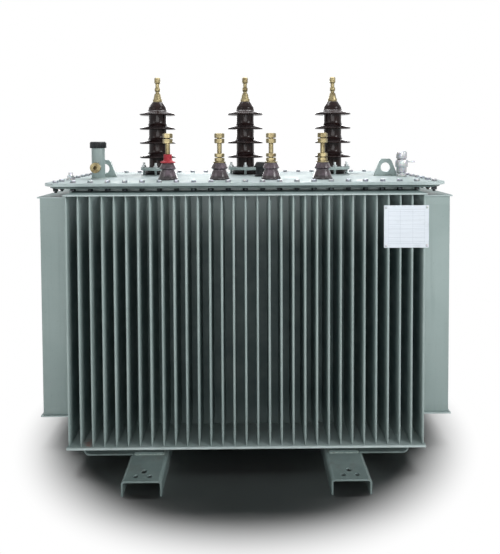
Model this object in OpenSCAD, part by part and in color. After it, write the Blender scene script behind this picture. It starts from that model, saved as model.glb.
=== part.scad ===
// Oil-filled distribution transformer. A corrugated fin tank stands on two channel feet.
// Its bolted lid carries three high-voltage and four low-voltage bushings, two lifting
// lugs and the oil fittings. The origin is on the floor at the middle of the footprint,
// with X along the long side, Y from the low-voltage front to the back, and Z up.

/* [Fins] */
// Distance between the centres of two fins
fin_pitch = 40.3; // [34:0.1:50]
// Number of fins on the front and on the back
front_fin_count = 31; // [27:2:39]
// Number of fins on each end
side_fin_count = 12; // [10:1:16]
// Thickness of a fin over its flat middle
fin_t = 8; // [5:0.5:12]
// Thickness of a fin where its ends are pressed shut
fin_end_t = 2.5; // [2:0.5:4]
// Height of the tapered stretch at each end of a fin
fin_pinch_h = 28; // [10:1:60]
// Depth of the front and back fins
front_fin_d = 140; // [60:5:250]
// Depth of the end fins
side_fin_d = 118; // [60:2:250]
// Height of the front and back fins
front_fin_h = 857; // [830:1:1200]
// Height of the end fins
side_fin_h = 809; // [400:1:820]
// Height of the end fins' lower plate above the front fins' lower plate
side_fin_rise = 24; // [10:1:30]
// Distance from the last front fin's centre to the tank's corner
front_fin_margin = 32.5; // [18:0.5:50]
// Distance from the last end fin's centre to the tank's corner
side_fin_margin = 25.85; // [18:0.05:40]
// Thickness of the plates that close the fins at the top and the bottom
fin_plate_t = 5; // [3:0.5:8]
// Distance that these plates reach past the fins
fin_plate_lip = 8; // [2:1:20]
// Depth of the folded edge under the front and back lower plates
shelf_fold_h = 3; // [2:0.5:18]

/* [Tank] */
// Thickness of the tank's wall sheet
sheet_t = 3; // [1.5:0.5:5]
// Height of plain wall below the fins' lower plates
lower_wall_h = 25; // [22:1:60]
// Height of plain wall between the fins' upper plates and the flange
upper_wall_h = 12; // [6:1:60]
// Thickness of the flange around the tank's rim
flange_t = 6; // [5:1:14]
// Distance that the flange stays inside the lid's edge
flange_inset = 14; // [2:1:16]
// Thickness of the lid gasket
gasket_t = 2; // [1.5:0.5:6]
// Distance that the gasket stays inside the lid's edge
gasket_inset = 18; // [16:1:30]
// Width of the gasket's strip inside the tank's wall
gasket_inner = 20; // [10:1:40]

/* [Lid] */
// Thickness of the lid
lid_t = 12; // [5:0.5:16]
// Distance that the lid reaches past the tank at the front and the back
lid_side_over = 70; // [50:1:100]
// Distance that the lid reaches past the tank at its ends
lid_end_over = 78; // [60:1:100]
// Length cut off each corner of the lid
lid_chamfer = 41; // [10:1:45]

/* [Feet] */
// Distance between the centre lines of the two feet
foot_gauge = 670; // [520:10:820]
// Width of a foot's channel
foot_w = 130; // [100:2:160]
// Height of a foot's channel
foot_h = 50; // [40:1:80]
// Thickness of a foot's channel
foot_t = 6; // [4:0.5:10]
// Outer bend radius of a foot's channel
foot_bend_r = 12; // [11:1:18]
// Distance that a foot reaches past the front fins
foot_reach = 125; // [90:5:250]
// Distance of the paired foot holes from a foot's end
foot_pair_end = 25; // [16:1:35]
// Distance between the paired foot holes
foot_pair_gap = 45; // [36:1:70]
// Radius of the paired foot holes
foot_pair_r = 8; // [5:0.5:10]
// Distance of the single foot hole from a foot's end
foot_single_end = 50; // [48:1:70]
// Radius of the single foot hole
foot_single_r = 9; // [5:0.5:12]
// Thickness of the pad between a foot and the tank
pad_t = 8; // [5:1:15]
// Distance of the pad's long edges inside the foot's sides
pad_inset = 15; // [13:1:30]
// Distance of the pad's ends behind the fin tips
pad_back = 15; // [5:1:60]

/* [Base brackets] */
// Length of a bracket from the foot's side outwards
bracket_l = 162; // [120:1:180]
// Thickness of a bracket's plate
bracket_t = 5; // [3:0.5:8]
// Outer radius of a bracket's upturned end
bracket_r = 20; // [12:1:30]
// Distance of a bracket's outer edge behind the fin tips
bracket_back = 20; // [15:1:60]

/* [High-voltage bushings] */
// Distance between two high-voltage bushings
hv_pitch = 385; // [340:5:420]
// Distance of the row from the lid's back edge
hv_edge = 152; // [120:1:170]
// Radius of the porcelain's base
hv_base_r = 56; // [48:1:57]
// Height of the porcelain's base
hv_base_h = 19; // [12:1:30]
// Radius of the porcelain's body
hv_body_r = 38.5; // [34:0.5:42]
// Radius of the sheds
hv_shed_r = 78.5; // [66:0.5:90]
// Number of sheds
hv_shed_count = 4; // [2:1:6]
// Height of the lowest shed above the lid
hv_shed_z = 80; // [76:1:110]
// Distance between two sheds
hv_shed_pitch = 62; // [50:1:80]
// Height of the tapered neck above the top shed
hv_neck_h = 50; // [40:1:80]
// Radius of the porcelain's top
hv_top_r = 23; // [20:0.5:28]
// Outer radius of the clamp ring
hv_ring_r = 75; // [73:0.5:80]
// Thickness of the clamp ring
hv_ring_t = 13; // [6:1:16]
// Gap between the clamp ring and the porcelain's body
hv_ring_gap = 1.5; // [0.5:0.5:3]
// Radius of the circle of clamp studs
hv_stud_circle_r = 62.5; // [62:0.5:64]
// Radius of a clamp stud
hv_stud_r = 5; // [3:0.5:6]
// Length of a clamp stud above the lid
hv_stud_h = 52; // [50:1:60]

/* [High-voltage terminals] */
// Radius of the brass cap
hv_cap_r = 20; // [16:0.5:23]
// Height of the brass cap
hv_cap_h = 13; // [8:1:20]
// Height of the cone above the cap
hv_cone_h = 24; // [15:1:40]
// Radius of the stem
hv_stem_r = 8; // [6:0.5:10]
// Radius of the lock nut, a rounded collar on the stem
hv_collar_r = 12; // [10.5:0.5:16]
// Height of that collar
hv_collar_h = 17; // [10:1:25]
// Length of bare stem below the collar
hv_stem_low_h = 9; // [4:1:20]
// Length of bare stem between the collar and the knob
hv_stem_high_h = 18; // [8:1:30]
// Radius of the clamping knob
hv_knob_r = 13; // [12:0.5:18]
// Height of the clamping knob
hv_knob_h = 26; // [22:1:40]
// Radius of the wire hole across the knob
hv_wire_r = 5; // [3:0.5:6]

/* [Low-voltage bushings] */
// Distance between two low-voltage bushings
lv_pitch = 196; // [150:2:210]
// Distance of the row from the lid's front edge
lv_edge = 162; // [120:1:190]
// Radius of the porcelain's base
lv_base_r = 37.7; // [33:0.1:42]
// Height of the straight rim round the base
lv_rim_h = 6; // [3:1:10]
// Height of the flared lower body
lv_body_h = 38; // [30:1:50]
// Radius of the waist under the shed
lv_waist_r = 24.8; // [23.5:0.1:28]
// Radius of the shed
lv_shed_r = 31.5; // [29:0.1:36]
// Height of the shed and the collar above the waist
lv_shed_h = 26; // [20:1:40]
// Radius of the porcelain's collar at the top
lv_collar_r = 22.8; // [18:0.1:23]
// Radius of the washer
lv_washer_r = 24; // [20:0.5:28]
// Thickness of the washer
lv_washer_t = 4; // [2:0.5:6]
// Size of the hexagon nuts across their flats
lv_nut_af = 33; // [26:1:38]
// Height of the lower pair of nuts
lv_low_nut_h = 31; // [16:1:40]
// Height of the upper pair of nuts
lv_high_nut_h = 38; // [16:1:50]
// Length of bare stud between the pairs of nuts
lv_stud_gap = 38; // [15:1:60]
// Radius of the stud
lv_stud_r = 8.5; // [6:0.5:10]
// Groove between the two nuts of a pair
lv_nut_groove = 2; // [1:0.5:4]
// Radius of the red boot's skirt
boot_r = 28.6; // [24:0.1:34]
// Radius of the red boot's neck
boot_neck_r = 15.5; // [12.5:0.5:20]
// Height of the red boot
boot_h = 32; // [20:1:36]
// Thickness of the red boot's skirt
boot_skirt_h = 4; // [2:0.5:8]
// Gap between the red boot and the stud
boot_gap = 0.3; // [0.2:0.1:1]

/* [Lifting lugs] */
// Distance of a lug's centre from the lid's end
lug_edge = 140; // [123:1:153]
// Width of a lug at the lid
lug_w = 93; // [76:1:104]
// Width of a lug at the top
lug_top_w = 50; // [46:1:70]
// Height of a lug
lug_h = 70; // [62:1:90]
// Thickness of a lug
lug_t = 12; // [8:1:20]
// Radius of the shackle hole
lug_hole_r = 20; // [12:0.5:22]
// Height of the shackle hole's centre
lug_hole_z = 34.5; // [30:0.5:40]
// Length cut off a lug's corners
lug_corner = 8; // [3:1:12]

/* [Oil filler] */
// Distance of the pipe's centre from the lid's left end
filler_edge = 135; // [108:1:148]
// Distance of the pipe's centre in front of the lid's middle
filler_front = 75; // [70:1:110]
// Outer radius of the pipe
filler_r = 25.5; // [20:0.5:30]
// Wall thickness of the pipe
filler_wall = 3.5; // [2:0.5:5]
// Height of the pipe
filler_h = 132; // [100:1:180]
// Outer radius of the cap
filler_cap_r = 31.5; // [31.5:0.5:36]
// Height of the cap
filler_cap_h = 25; // [20:1:40]
// Depth of the cap's skirt round the pipe
filler_skirt = 12; // [6:1:16]
// Gap between the cap's skirt and the pipe
filler_gap = 0.5; // [0.2:0.1:1]
// Number of grip flutes round the cap
filler_flutes = 16; // [8:1:20]
// Radius of a grip flute
filler_flute_r = 2.5; // [1.5:0.5:3]
// Height of the brass plug's axis
plug_z = 44; // [30:1:70]
// Radius of the brass plug's rim
plug_r = 20; // [16:0.5:24]
// Thickness of the brass plug's rim
plug_rim_t = 12; // [6:1:16]
// Radius of the brass plug's neck
plug_neck_r = 14; // [11:0.5:15]
// Distance from the pipe's wall to the plug's rim
plug_neck_l = 10; // [6:1:20]
// Radius of the sampling hole in the plug
plug_hole_r = 7; // [4:0.5:9]
// Depth of the sampling hole
plug_hole_d = 16; // [8:1:20]

/* [Other fittings] */
// Distance of the relief valve from the lid's right end
relief_edge = 85; // [82:1:86]
// Distance of the relief valve in front of the lid's middle
relief_front = 40; // [38:1:80]
// Radius of the relief valve's body
relief_r = 24.5; // [22:0.5:25]
// Radius of the relief valve's lower tube
relief_tube_r = 20; // [16:0.5:21]
// Radius of the relief valve's hood
relief_hood_r = 21; // [19:0.5:24]
// Height of the lower tube
relief_tube_h = 38; // [25:1:50]
// Height of the relief valve's body
relief_body_h = 28; // [20:1:40]
// Height of the relief valve's hood with its neck
relief_hood_h = 36; // [28:1:50]
// Length of the test lever past the body
relief_lever_l = 30; // [15:1:36]
// Radius of the test lever
relief_lever_r = 3; // [2:0.5:5]
// Distance of the tap changer to the right of the lid's middle
tap_x = 65; // [50:1:70]
// Radius of the tap changer's hood
tap_r = 28.5; // [25:0.5:32]
// Radius of the tap changer's body
tap_body_r = 22; // [18:0.5:24]
// Height of the tap changer
tap_h = 59; // [48:1:80]
// Height of the tap changer's hood
tap_hood_h = 22; // [14:1:30]
// Distance of the earth bolt from the lid's left end
earth_edge = 47; // [40:1:52]
// Distance of the earth bolt in front of the lid's middle
earth_front = 140; // [120:1:180]
// Radius of the earth bolt's washer
earth_washer_r = 16; // [15.5:0.5:20]
// Size of the earth bolt's nut across its flats
earth_nut_af = 24; // [18:1:26]
// Radius of the earth bolt's stud
earth_stud_r = 8; // [5:0.5:8.5]
// Height of the earth bolt
earth_h = 28; // [24:1:40]
// Width of the rating plate
plate_w = 152; // [100:1:200]
// Height of the rating plate
plate_h = 144; // [100:1:200]
// Thickness of the rating plate
plate_t = 2.5; // [1.5:0.5:5]
// Distance of the rating plate's centre from the last front fin
plate_side = 61.5; // [40:0.5:100]
// Distance of the rating plate's centre below the upper fin plates
plate_drop = 108; // [105:1:200]

/* [Hidden] */
$fn = 48;
// Overlap that keeps a cut clear of the face it leaves
cut = 1;
// Ratio of a hexagon's corners to its flats
hex = 2 / sqrt(3);
// Share of a nut's flats that its round end face spans
nut_face_share = 0.95;
paint = "#93A8A4";
lid_paint = "#B4C4C4";
porcelain = "#38302F";
lv_glaze = "#4A454A";
brass = "#CDBF9B";
zinc = "#A9B0B2";
black = "#30363A";
red = "#BE3246";

// The tank's footprint follows the fins
front_fin_span = (front_fin_count - 1) * fin_pitch;
side_fin_span = (side_fin_count - 1) * fin_pitch;
tank_w = front_fin_span + 2 * front_fin_margin;
tank_d = side_fin_span + 2 * side_fin_margin;
lid_w = tank_w + 2 * lid_end_over;
lid_d = tank_d + 2 * lid_side_over;

// Heights from the floor up
tank_z = foot_h + pad_t;
shelf_z = tank_z + lower_wall_h;
front_fin_z = shelf_z + fin_plate_t;
side_shelf_z = shelf_z + side_fin_rise;
side_fin_z = side_shelf_z + fin_plate_t;
front_top_z = front_fin_z + front_fin_h;
side_top_z = side_fin_z + side_fin_h;
flange_z = max(front_top_z, side_top_z) + fin_plate_t + upper_wall_h;
rim_z = flange_z + flange_t;
lid_z = rim_z + gasket_t;
deck_z = lid_z + lid_t;

fin_tip_y = tank_d / 2 + front_fin_d;
foot_l = 2 * (fin_tip_y + foot_reach);
hv_y = lid_d / 2 - hv_edge;
lv_y = lv_edge - lid_d / 2;
hv_shed_top = hv_shed_z + (hv_shed_count - 1) * hv_shed_pitch;
hv_h = hv_shed_top + hv_neck_h;
lv_h = lv_body_h + lv_shed_h;

// Shed form: a thin drooping lip, a shallow slope and a flared root
shed_lip_r = 4.2;
shed_slope_h = 8;
shed_root_h = 18;
shed_slope_share = 0.34;
shed_steps = 5;

// Outline of a channel: a flat web at the top, round bends and two flanges that reach the floor
module channel_outline(w, h, r) {
    translate([-w / 2, 0]) square([w, h - r]);
    translate([r - w / 2, 0]) square([w - 2 * r, h]);
    for (side = [-1, 1])
        translate([side * (w / 2 - r), h - r]) circle(r);
}

module foot(side) {
    hole_rows = [foot_l / 2 - foot_pair_end, foot_l / 2 - foot_single_end];
    color(paint)
    translate([side * foot_gauge / 2, 0, 0])
    difference() {
        rotate([90, 0, 0])
        linear_extrude(foot_l, center = true)
        difference() {
            channel_outline(foot_w, foot_h, foot_bend_r);
            translate([0, -cut])
                channel_outline(foot_w - 2 * foot_t, foot_h - foot_t + cut, foot_bend_r - foot_t);
        }
        for (end = [-1, 1]) {
            for (pair = [-1, 1])
                translate([pair * foot_pair_gap / 2, end * hole_rows[0], foot_h - foot_t - cut])
                    cylinder(r = foot_pair_r, h = foot_t + 2 * cut);
            translate([0, end * hole_rows[1], foot_h - foot_t - cut])
                cylinder(r = foot_single_r, h = foot_t + 2 * cut);
        }
    }
}

module foot_pad(side) {
    pad_w = foot_w - 2 * pad_inset;
    pad_l = 2 * (fin_tip_y - pad_back);
    color(paint)
    translate([side * foot_gauge / 2 - pad_w / 2, -pad_l / 2, foot_h])
        cube([pad_w, pad_l, pad_t]);
}

// A bent plate runs out from the foot's side, level with its web, and turns up to the shelf
module bracket_outline() {
    inner_r = bracket_r - bracket_t;
    bend_z = foot_h - bracket_t + bracket_r;
    difference() {
        translate([0, foot_h - bracket_t]) square([foot_w / 2 + bracket_l - bracket_r, bracket_t]);
        channel_outline(foot_w, foot_h, foot_bend_r);
    }
    translate([foot_w / 2 + bracket_l - bracket_r, bend_z])
    intersection() {
        difference() {
            circle(bracket_r);
            circle(inner_r);
        }
        translate([0, -bracket_r]) square(bracket_r);
    }
    translate([foot_w / 2 + bracket_l - bracket_t, bend_z]) square([bracket_t, shelf_z - bend_z]);
}

module base_bracket(side) {
    bracket_d = front_fin_d - bracket_back;
    color(paint)
    for (end = [-1, 1])
        translate([side * foot_gauge / 2, end * (tank_d + bracket_d) / 2, 0])
        mirror([side < 0 ? 1 : 0, 0, 0])
        rotate([90, 0, 0])
        linear_extrude(bracket_d, center = true) bracket_outline();
}

module tank_body() {
    color(paint)
    translate([sheet_t - tank_w / 2, sheet_t - tank_d / 2, tank_z])
        cube([tank_w - 2 * sheet_t, tank_d - 2 * sheet_t, rim_z - tank_z]);
}

// Front outline of one fin: straight sides that taper to pressed ends
module fin_front_outline(h) {
    half = fin_t / 2;
    end = fin_end_t / 2;
    polygon([
        [-end, 0], [end, 0], [half, fin_pinch_h], [half, h - fin_pinch_h],
        [end, h], [-end, h], [-half, h - fin_pinch_h], [-half, fin_pinch_h]
    ]);
}

// Plan outline of one fin: a folded sheet with a round tip
module fin_plan_outline(depth) {
    straight = depth - fin_t / 2;
    translate([-fin_t / 2, -straight]) square([fin_t, straight]);
    translate([0, -straight]) circle(d = fin_t);
}

module fin(depth, h) {
    intersection() {
        rotate([90, 0, 0]) linear_extrude(depth) fin_front_outline(h);
        linear_extrude(h) fin_plan_outline(depth);
    }
}

// A wall sheet with its row of fins, facing -Y at the given distance from the tank's middle
module fin_wall(count, depth, face, sheet_l, fin_z, fin_h) {
    translate([0, -face, 0]) {
        translate([-sheet_l / 2, 0, tank_z]) cube([sheet_l, sheet_t, rim_z - tank_z]);
        for (i = [0 : count - 1])
            translate([(i - (count - 1) / 2) * fin_pitch, 0, fin_z]) fin(depth, fin_h);
    }
}

// Side outline of a fin plate, with an optional folded edge below it
module fin_plate_outline(depth, fold) {
    reach = depth + fin_plate_lip;
    if (fold > 0) {
        translate([fin_plate_t - reach, 0]) square([reach - fin_plate_t, fin_plate_t]);
        translate([-reach, -fold]) square([fin_plate_t, fold]);
        intersection() {
            translate([fin_plate_t - reach, 0]) circle(fin_plate_t);
            translate([-reach, 0]) square(fin_plate_t);
        }
    } else {
        translate([-reach, 0]) square([reach, fin_plate_t]);
    }
}

module fin_plate(width, depth, face, z, fold) {
    translate([-width / 2, -face, z])
        rotate([90, 0, 90]) linear_extrude(width) fin_plate_outline(depth, fold);
}

module front_wall_shape() {
    fin_wall(front_fin_count, front_fin_d, tank_d / 2, tank_w, front_fin_z, front_fin_h);
}

module side_wall_shape() {
    fin_wall(side_fin_count, side_fin_d, tank_w / 2, tank_d - 2 * sheet_t, side_fin_z, side_fin_h);
}

module front_plates_shape() {
    width = front_fin_span + fin_t + fin_plate_lip;
    fin_plate(width, front_fin_d, tank_d / 2, shelf_z, shelf_fold_h);
    fin_plate(width, front_fin_d, tank_d / 2, front_top_z, 0);
}

module side_plates_shape() {
    width = side_fin_span + fin_t + fin_plate_lip;
    fin_plate(width, side_fin_d, tank_w / 2, side_shelf_z, 0);
    fin_plate(width, side_fin_d, tank_w / 2, side_top_z, 0);
}

module front_fin_wall() { color(paint) front_wall_shape(); }
module back_fin_wall() { color(paint) rotate([0, 0, 180]) front_wall_shape(); }
module left_fin_wall() { color(paint) rotate([0, 0, -90]) side_wall_shape(); }
module right_fin_wall() { color(paint) rotate([0, 0, 90]) side_wall_shape(); }
module front_fin_plates() { color(paint) front_plates_shape(); }
module back_fin_plates() { color(paint) rotate([0, 0, 180]) front_plates_shape(); }
module left_fin_plates() { color(paint) rotate([0, 0, -90]) side_plates_shape(); }
module right_fin_plates() { color(paint) rotate([0, 0, 90]) side_plates_shape(); }

// The lid's outline, a rectangle with cut corners, set in from its edge by a distance
module lid_outline(inset) {
    x = lid_w / 2 - inset;
    y = lid_d / 2 - inset;
    polygon([
        [lid_chamfer - x, -y], [x - lid_chamfer, -y], [x, lid_chamfer - y], [x, y - lid_chamfer],
        [x - lid_chamfer, y], [lid_chamfer - x, y], [-x, y - lid_chamfer], [-x, lid_chamfer - y]
    ]);
}

module top_flange() {
    color(paint)
    translate([0, 0, flange_z])
    linear_extrude(flange_t)
    difference() {
        lid_outline(flange_inset);
        square([tank_w, tank_d], center = true);
    }
}

module lid_gasket() {
    color(black)
    translate([0, 0, rim_z])
    linear_extrude(gasket_t)
    difference() {
        lid_outline(gasket_inset);
        square([tank_w - 2 * gasket_inner, tank_d - 2 * gasket_inner], center = true);
    }
}

module lid() {
    color(lid_paint)
    translate([0, 0, lid_z]) linear_extrude(lid_t) lid_outline(0);
}

module lifting_lug(side) {
    low = lug_w / 2;
    high = lug_top_w / 2;
    color(paint)
    translate([side * (lid_w / 2 - lug_edge), 0, deck_z])
    rotate([90, 0, 0])
    difference() {
        linear_extrude(lug_t, center = true)
        polygon([
            [-low, 0], [low, 0], [low, lug_corner], [high, lug_h - lug_corner],
            [high - lug_corner, lug_h], [lug_corner - high, lug_h],
            [-high, lug_h - lug_corner], [-low, lug_corner]
        ]);
        translate([0, lug_hole_z, 0]) cylinder(r = lug_hole_r, h = lug_t + 2 * cut, center = true);
    }
}

// Outline points of one shed, from its underside to the top of its flared root
function shed_points(z, body_r, shed_r) =
    let(
        lip_x = shed_r - shed_lip_r,
        slope_r = body_r + shed_slope_share * (shed_r - body_r)
    )
    concat(
        [[body_r, z]],
        [for (i = [0 : shed_steps]) let(a = 170 * i / shed_steps - 90)
            [lip_x + shed_lip_r * cos(a), z - shed_lip_r + shed_lip_r * sin(a)]],
        [for (i = [0 : shed_steps]) let(a = 90 * i / shed_steps)
            [body_r + (slope_r - body_r) * (1 - sin(a)),
             z + shed_slope_h + shed_root_h * (1 - cos(a))]]
    );

module hv_porcelain(i) {
    sheds = [for (k = [0 : hv_shed_count - 1])
        each shed_points(hv_shed_z + k * hv_shed_pitch, hv_body_r, hv_shed_r)];
    color(porcelain)
    translate([(i - 2) * hv_pitch, hv_y, deck_z])
    rotate_extrude()
    polygon(concat(
        [[0, 0], [hv_base_r, 0], [hv_base_r, hv_base_h], [hv_body_r, hv_base_h]],
        sheds,
        [[hv_top_r, hv_h], [0, hv_h]]
    ));
}

// A steel ring presses the porcelain's base to the lid, held by four studs with nuts
module hv_clamp(i) {
    nut_af = 3.4 * hv_stud_r;
    nut_h = 1.6 * hv_stud_r;
    ring_top = hv_base_h + hv_ring_t;
    color(paint)
    translate([(i - 2) * hv_pitch, hv_y, deck_z]) {
        translate([0, 0, hv_base_h])
        linear_extrude(hv_ring_t)
        difference() {
            circle(hv_ring_r);
            circle(hv_body_r + hv_ring_gap);
        }
        for (turn = [0 : 90 : 270])
            rotate([0, 0, turn])
            translate([hv_stud_circle_r, 0, 0]) {
                cylinder(r = hv_stud_r, h = hv_stud_h);
                translate([0, 0, ring_top]) hex_nut(nut_af, nut_h);
            }
    }
}

module hv_terminal(i) {
    cone_top = hv_cap_h + hv_cone_h;
    collar_z = cone_top + hv_stem_low_h;
    collar_top = collar_z + hv_collar_h;
    knob_z = collar_top + hv_stem_high_h;
    knob_top = knob_z + hv_knob_h;
    collar_flat = hv_collar_h / 4;
    knob_round = hv_knob_r / 4;
    color(brass)
    translate([(i - 2) * hv_pitch, hv_y, deck_z + hv_h])
    difference() {
        rotate_extrude()
        polygon([
            [0, 0], [hv_cap_r, 0], [hv_cap_r, hv_cap_h], [hv_cap_r - 2.5, hv_cap_h],
            [hv_stem_r + 4.5, cone_top], [hv_stem_r, cone_top], [hv_stem_r, collar_z],
            [hv_collar_r - 2, collar_z], [hv_collar_r, collar_z + collar_flat],
            [hv_collar_r, collar_top - collar_flat], [hv_collar_r - 2, collar_top],
            [hv_stem_r, collar_top], [hv_stem_r, knob_z], [hv_knob_r - knob_round, knob_z],
            [hv_knob_r, knob_z + knob_round], [hv_knob_r, knob_top - knob_round],
            [hv_knob_r - knob_round, knob_top], [0, knob_top]
        ]);
        translate([0, 0, knob_z + hv_knob_h / 2])
        rotate([0, 90, 0])
            cylinder(r = hv_wire_r, h = 2 * hv_knob_r + 2 * cut, center = true);
    }
}

function lv_x(i) = (i - 2.5) * lv_pitch;

module lv_porcelain(i) {
    shed_z = lv_body_h + 7;
    color(lv_glaze)
    translate([lv_x(i), lv_y, deck_z])
    rotate_extrude()
    polygon([
        [0, 0], [lv_base_r, 0], [lv_base_r, lv_rim_h], [lv_base_r - 2, lv_rim_h + 1.5],
        [lv_waist_r + 3, lv_body_h - 8], [lv_waist_r, lv_body_h - 2], [lv_waist_r, lv_body_h],
        [lv_shed_r - 1, shed_z - 3], [lv_shed_r, shed_z - 1.5], [lv_shed_r - 0.5, shed_z],
        [lv_collar_r + 1.5, lv_h - 3], [lv_collar_r, lv_h - 2], [lv_collar_r, lv_h], [0, lv_h]
    ]);
}

// A hexagon nut whose corners are chamfered at both ends
module hex_nut(af, h) {
    corner_r = af * hex / 2;
    face_r = af * nut_face_share / 2;
    bevel = (corner_r - face_r) * tan(30);
    intersection() {
        cylinder(r = corner_r, h = h, $fn = 6);
        rotate_extrude($fn = 24)
        polygon([
            [0, 0], [face_r, 0], [corner_r, bevel], [corner_r, h - bevel], [face_r, h], [0, h]
        ]);
    }
}

// Two nuts locked together, with a narrow groove between them
module nut_pair(h) {
    nut_h = (h - lv_nut_groove) / 2;
    for (z = [0, nut_h + lv_nut_groove])
        translate([0, 0, z]) hex_nut(lv_nut_af, nut_h);
}

module lv_terminal(i) {
    booted = i == 1;
    high_nut_z = lv_washer_t + lv_low_nut_h + lv_stud_gap;
    color(brass)
    translate([lv_x(i), lv_y, deck_z + lv_h]) {
        cylinder(r = lv_stud_r, h = high_nut_z + lv_high_nut_h);
        translate([0, 0, high_nut_z]) nut_pair(lv_high_nut_h);
        if (!booted) {
            cylinder(r = lv_washer_r, h = lv_washer_t);
            translate([0, 0, lv_washer_t]) nut_pair(lv_low_nut_h);
        }
    }
}

// A flared plastic boot marks the first low-voltage terminal
module red_terminal_boot() {
    flare = boot_r - boot_neck_r;
    rise = boot_h / 2 - boot_skirt_h;
    color(red)
    translate([lv_x(1), lv_y, deck_z + lv_h])
    rotate_extrude()
    polygon(concat(
        [[lv_stud_r + boot_gap, 0], [boot_r, 0], [boot_r, boot_skirt_h]],
        [for (a = [15 : 15 : 90])
            [boot_r - flare * sin(a), boot_skirt_h + rise * (1 - cos(a))]],
        [[boot_neck_r, boot_h], [lv_stud_r + boot_gap, boot_h]]
    ));
}

filler_x = filler_edge - lid_w / 2;
filler_y = -filler_front;

module filler_pipe() {
    color(paint)
    translate([filler_x, filler_y, deck_z])
    difference() {
        cylinder(r = filler_r, h = filler_h);
        translate([0, 0, -cut]) cylinder(r = filler_r - filler_wall, h = filler_h + 2 * cut);
    }
}

module filler_cap() {
    bevel = 4;
    color(black)
    translate([filler_x, filler_y, deck_z + filler_h - filler_skirt])
    difference() {
        rotate_extrude()
        polygon([
            [0, 0], [filler_cap_r, 0], [filler_cap_r, filler_cap_h - bevel],
            [filler_cap_r - bevel, filler_cap_h], [0, filler_cap_h]
        ]);
        translate([0, 0, -cut]) cylinder(r = filler_r + filler_gap, h = filler_skirt + cut);
        for (k = [1 : filler_flutes])
            rotate([0, 0, k * 360 / filler_flutes])
            translate([filler_cap_r + filler_flute_r / 2, 0, -cut])
                cylinder(r = filler_flute_r, h = filler_cap_h + 2 * cut);
    }
}

module filler_plug() {
    tip = filler_r + plug_neck_l + plug_rim_t;
    color(brass)
    translate([filler_x, filler_y, deck_z])
    difference() {
        translate([0, 0, plug_z])
        rotate([90, 0, 0])
        difference() {
            union() {
                cylinder(r = plug_neck_r, h = tip - plug_rim_t);
                translate([0, 0, tip - plug_rim_t]) cylinder(r = plug_r, h = plug_rim_t);
            }
            translate([0, 0, tip - plug_hole_d]) cylinder(r = plug_hole_r, h = plug_hole_d + cut);
        }
        cylinder(r = filler_r, h = filler_h);
    }
}

module relief_valve() {
    body_top = relief_tube_h + relief_body_h;
    top = body_top + relief_hood_h;
    neck_r = relief_hood_r - 4;
    neck_h = 6;
    crown = 5;
    color(zinc)
    translate([lid_w / 2 - relief_edge, -relief_front, deck_z]) {
        rotate_extrude()
        polygon([
            [0, 0], [relief_tube_r - 1, 0], [relief_tube_r - 1, 6], [relief_tube_r - 4, 9],
            [relief_tube_r - 4, 15], [relief_tube_r, 17], [relief_tube_r, relief_tube_h],
            [relief_r, relief_tube_h], [relief_r, body_top], [neck_r, body_top],
            [neck_r, body_top + neck_h], [relief_hood_r, body_top + neck_h],
            [relief_hood_r, top - crown], [relief_hood_r - crown, top], [0, top]
        ]);
        translate([0, 0, body_top - relief_body_h / 4])
        rotate([0, 90, 0])
            cylinder(r = relief_lever_r, h = relief_r + relief_lever_l);
    }
}

module tap_changer() {
    hood_z = tap_h - tap_hood_h;
    color(black)
    translate([tap_x, 0, deck_z])
    rotate_extrude()
    polygon([
        [0, 0], [tap_r - 1.5, 0], [tap_r - 1.5, 5], [tap_body_r, 8], [tap_body_r, hood_z],
        [tap_r, hood_z], [tap_r, hood_z + 4], [tap_body_r - 1, tap_h - 3],
        [tap_body_r - 4, tap_h], [0, tap_h]
    ]);
}

module earth_bolt() {
    washer_t = 3;
    nut_h = 14;
    color(zinc)
    translate([earth_edge - lid_w / 2, -earth_front, deck_z]) {
        cylinder(r = earth_washer_r, h = washer_t);
        translate([0, 0, washer_t]) hex_nut(earth_nut_af, nut_h);
        cylinder(r = earth_stud_r, h = earth_h);
    }
}

module rating_plate() {
    color("#DEE6EE")
    translate([front_fin_span / 2 - plate_side, -fin_tip_y, front_top_z - plate_drop])
    rotate([90, 0, 0])
    linear_extrude(plate_t) square([plate_w, plate_h], center = true);
}

foot(-1);  // left_foot
foot(1);  // right_foot
foot_pad(-1);  // left_foot_pad
foot_pad(1);  // right_foot_pad
base_bracket(-1);  // left_base_bracket
base_bracket(1);  // right_base_bracket
tank_body();
front_fin_wall();
back_fin_wall();
left_fin_wall();
right_fin_wall();
front_fin_plates();
back_fin_plates();
left_fin_plates();
right_fin_plates();
top_flange();
lid_gasket();
lid();
lifting_lug(-1);  // left_lifting_lug
lifting_lug(1);  // right_lifting_lug
hv_porcelain(1);  // hv_porcelain_1
hv_porcelain(2);  // hv_porcelain_2
hv_porcelain(3);  // hv_porcelain_3
hv_clamp(1);  // hv_clamp_1
hv_clamp(2);  // hv_clamp_2
hv_clamp(3);  // hv_clamp_3
hv_terminal(1);  // hv_terminal_1
hv_terminal(2);  // hv_terminal_2
hv_terminal(3);  // hv_terminal_3
lv_porcelain(1);  // lv_porcelain_1
lv_porcelain(2);  // lv_porcelain_2
lv_porcelain(3);  // lv_porcelain_3
lv_porcelain(4);  // lv_porcelain_4
lv_terminal(1);  // lv_terminal_1
lv_terminal(2);  // lv_terminal_2
lv_terminal(3);  // lv_terminal_3
lv_terminal(4);  // lv_terminal_4
red_terminal_boot();
filler_pipe();
filler_cap();
filler_plug();
relief_valve();
tap_changer();
earth_bolt();
rating_plate();
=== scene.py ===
"""Looks of the power transformer: materials, lid bolts, welds, threads, floor, light and camera."""
import math
import random
from collections import namedtuple

import bmesh
import bpy
from mathutils import Matrix, Vector


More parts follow.
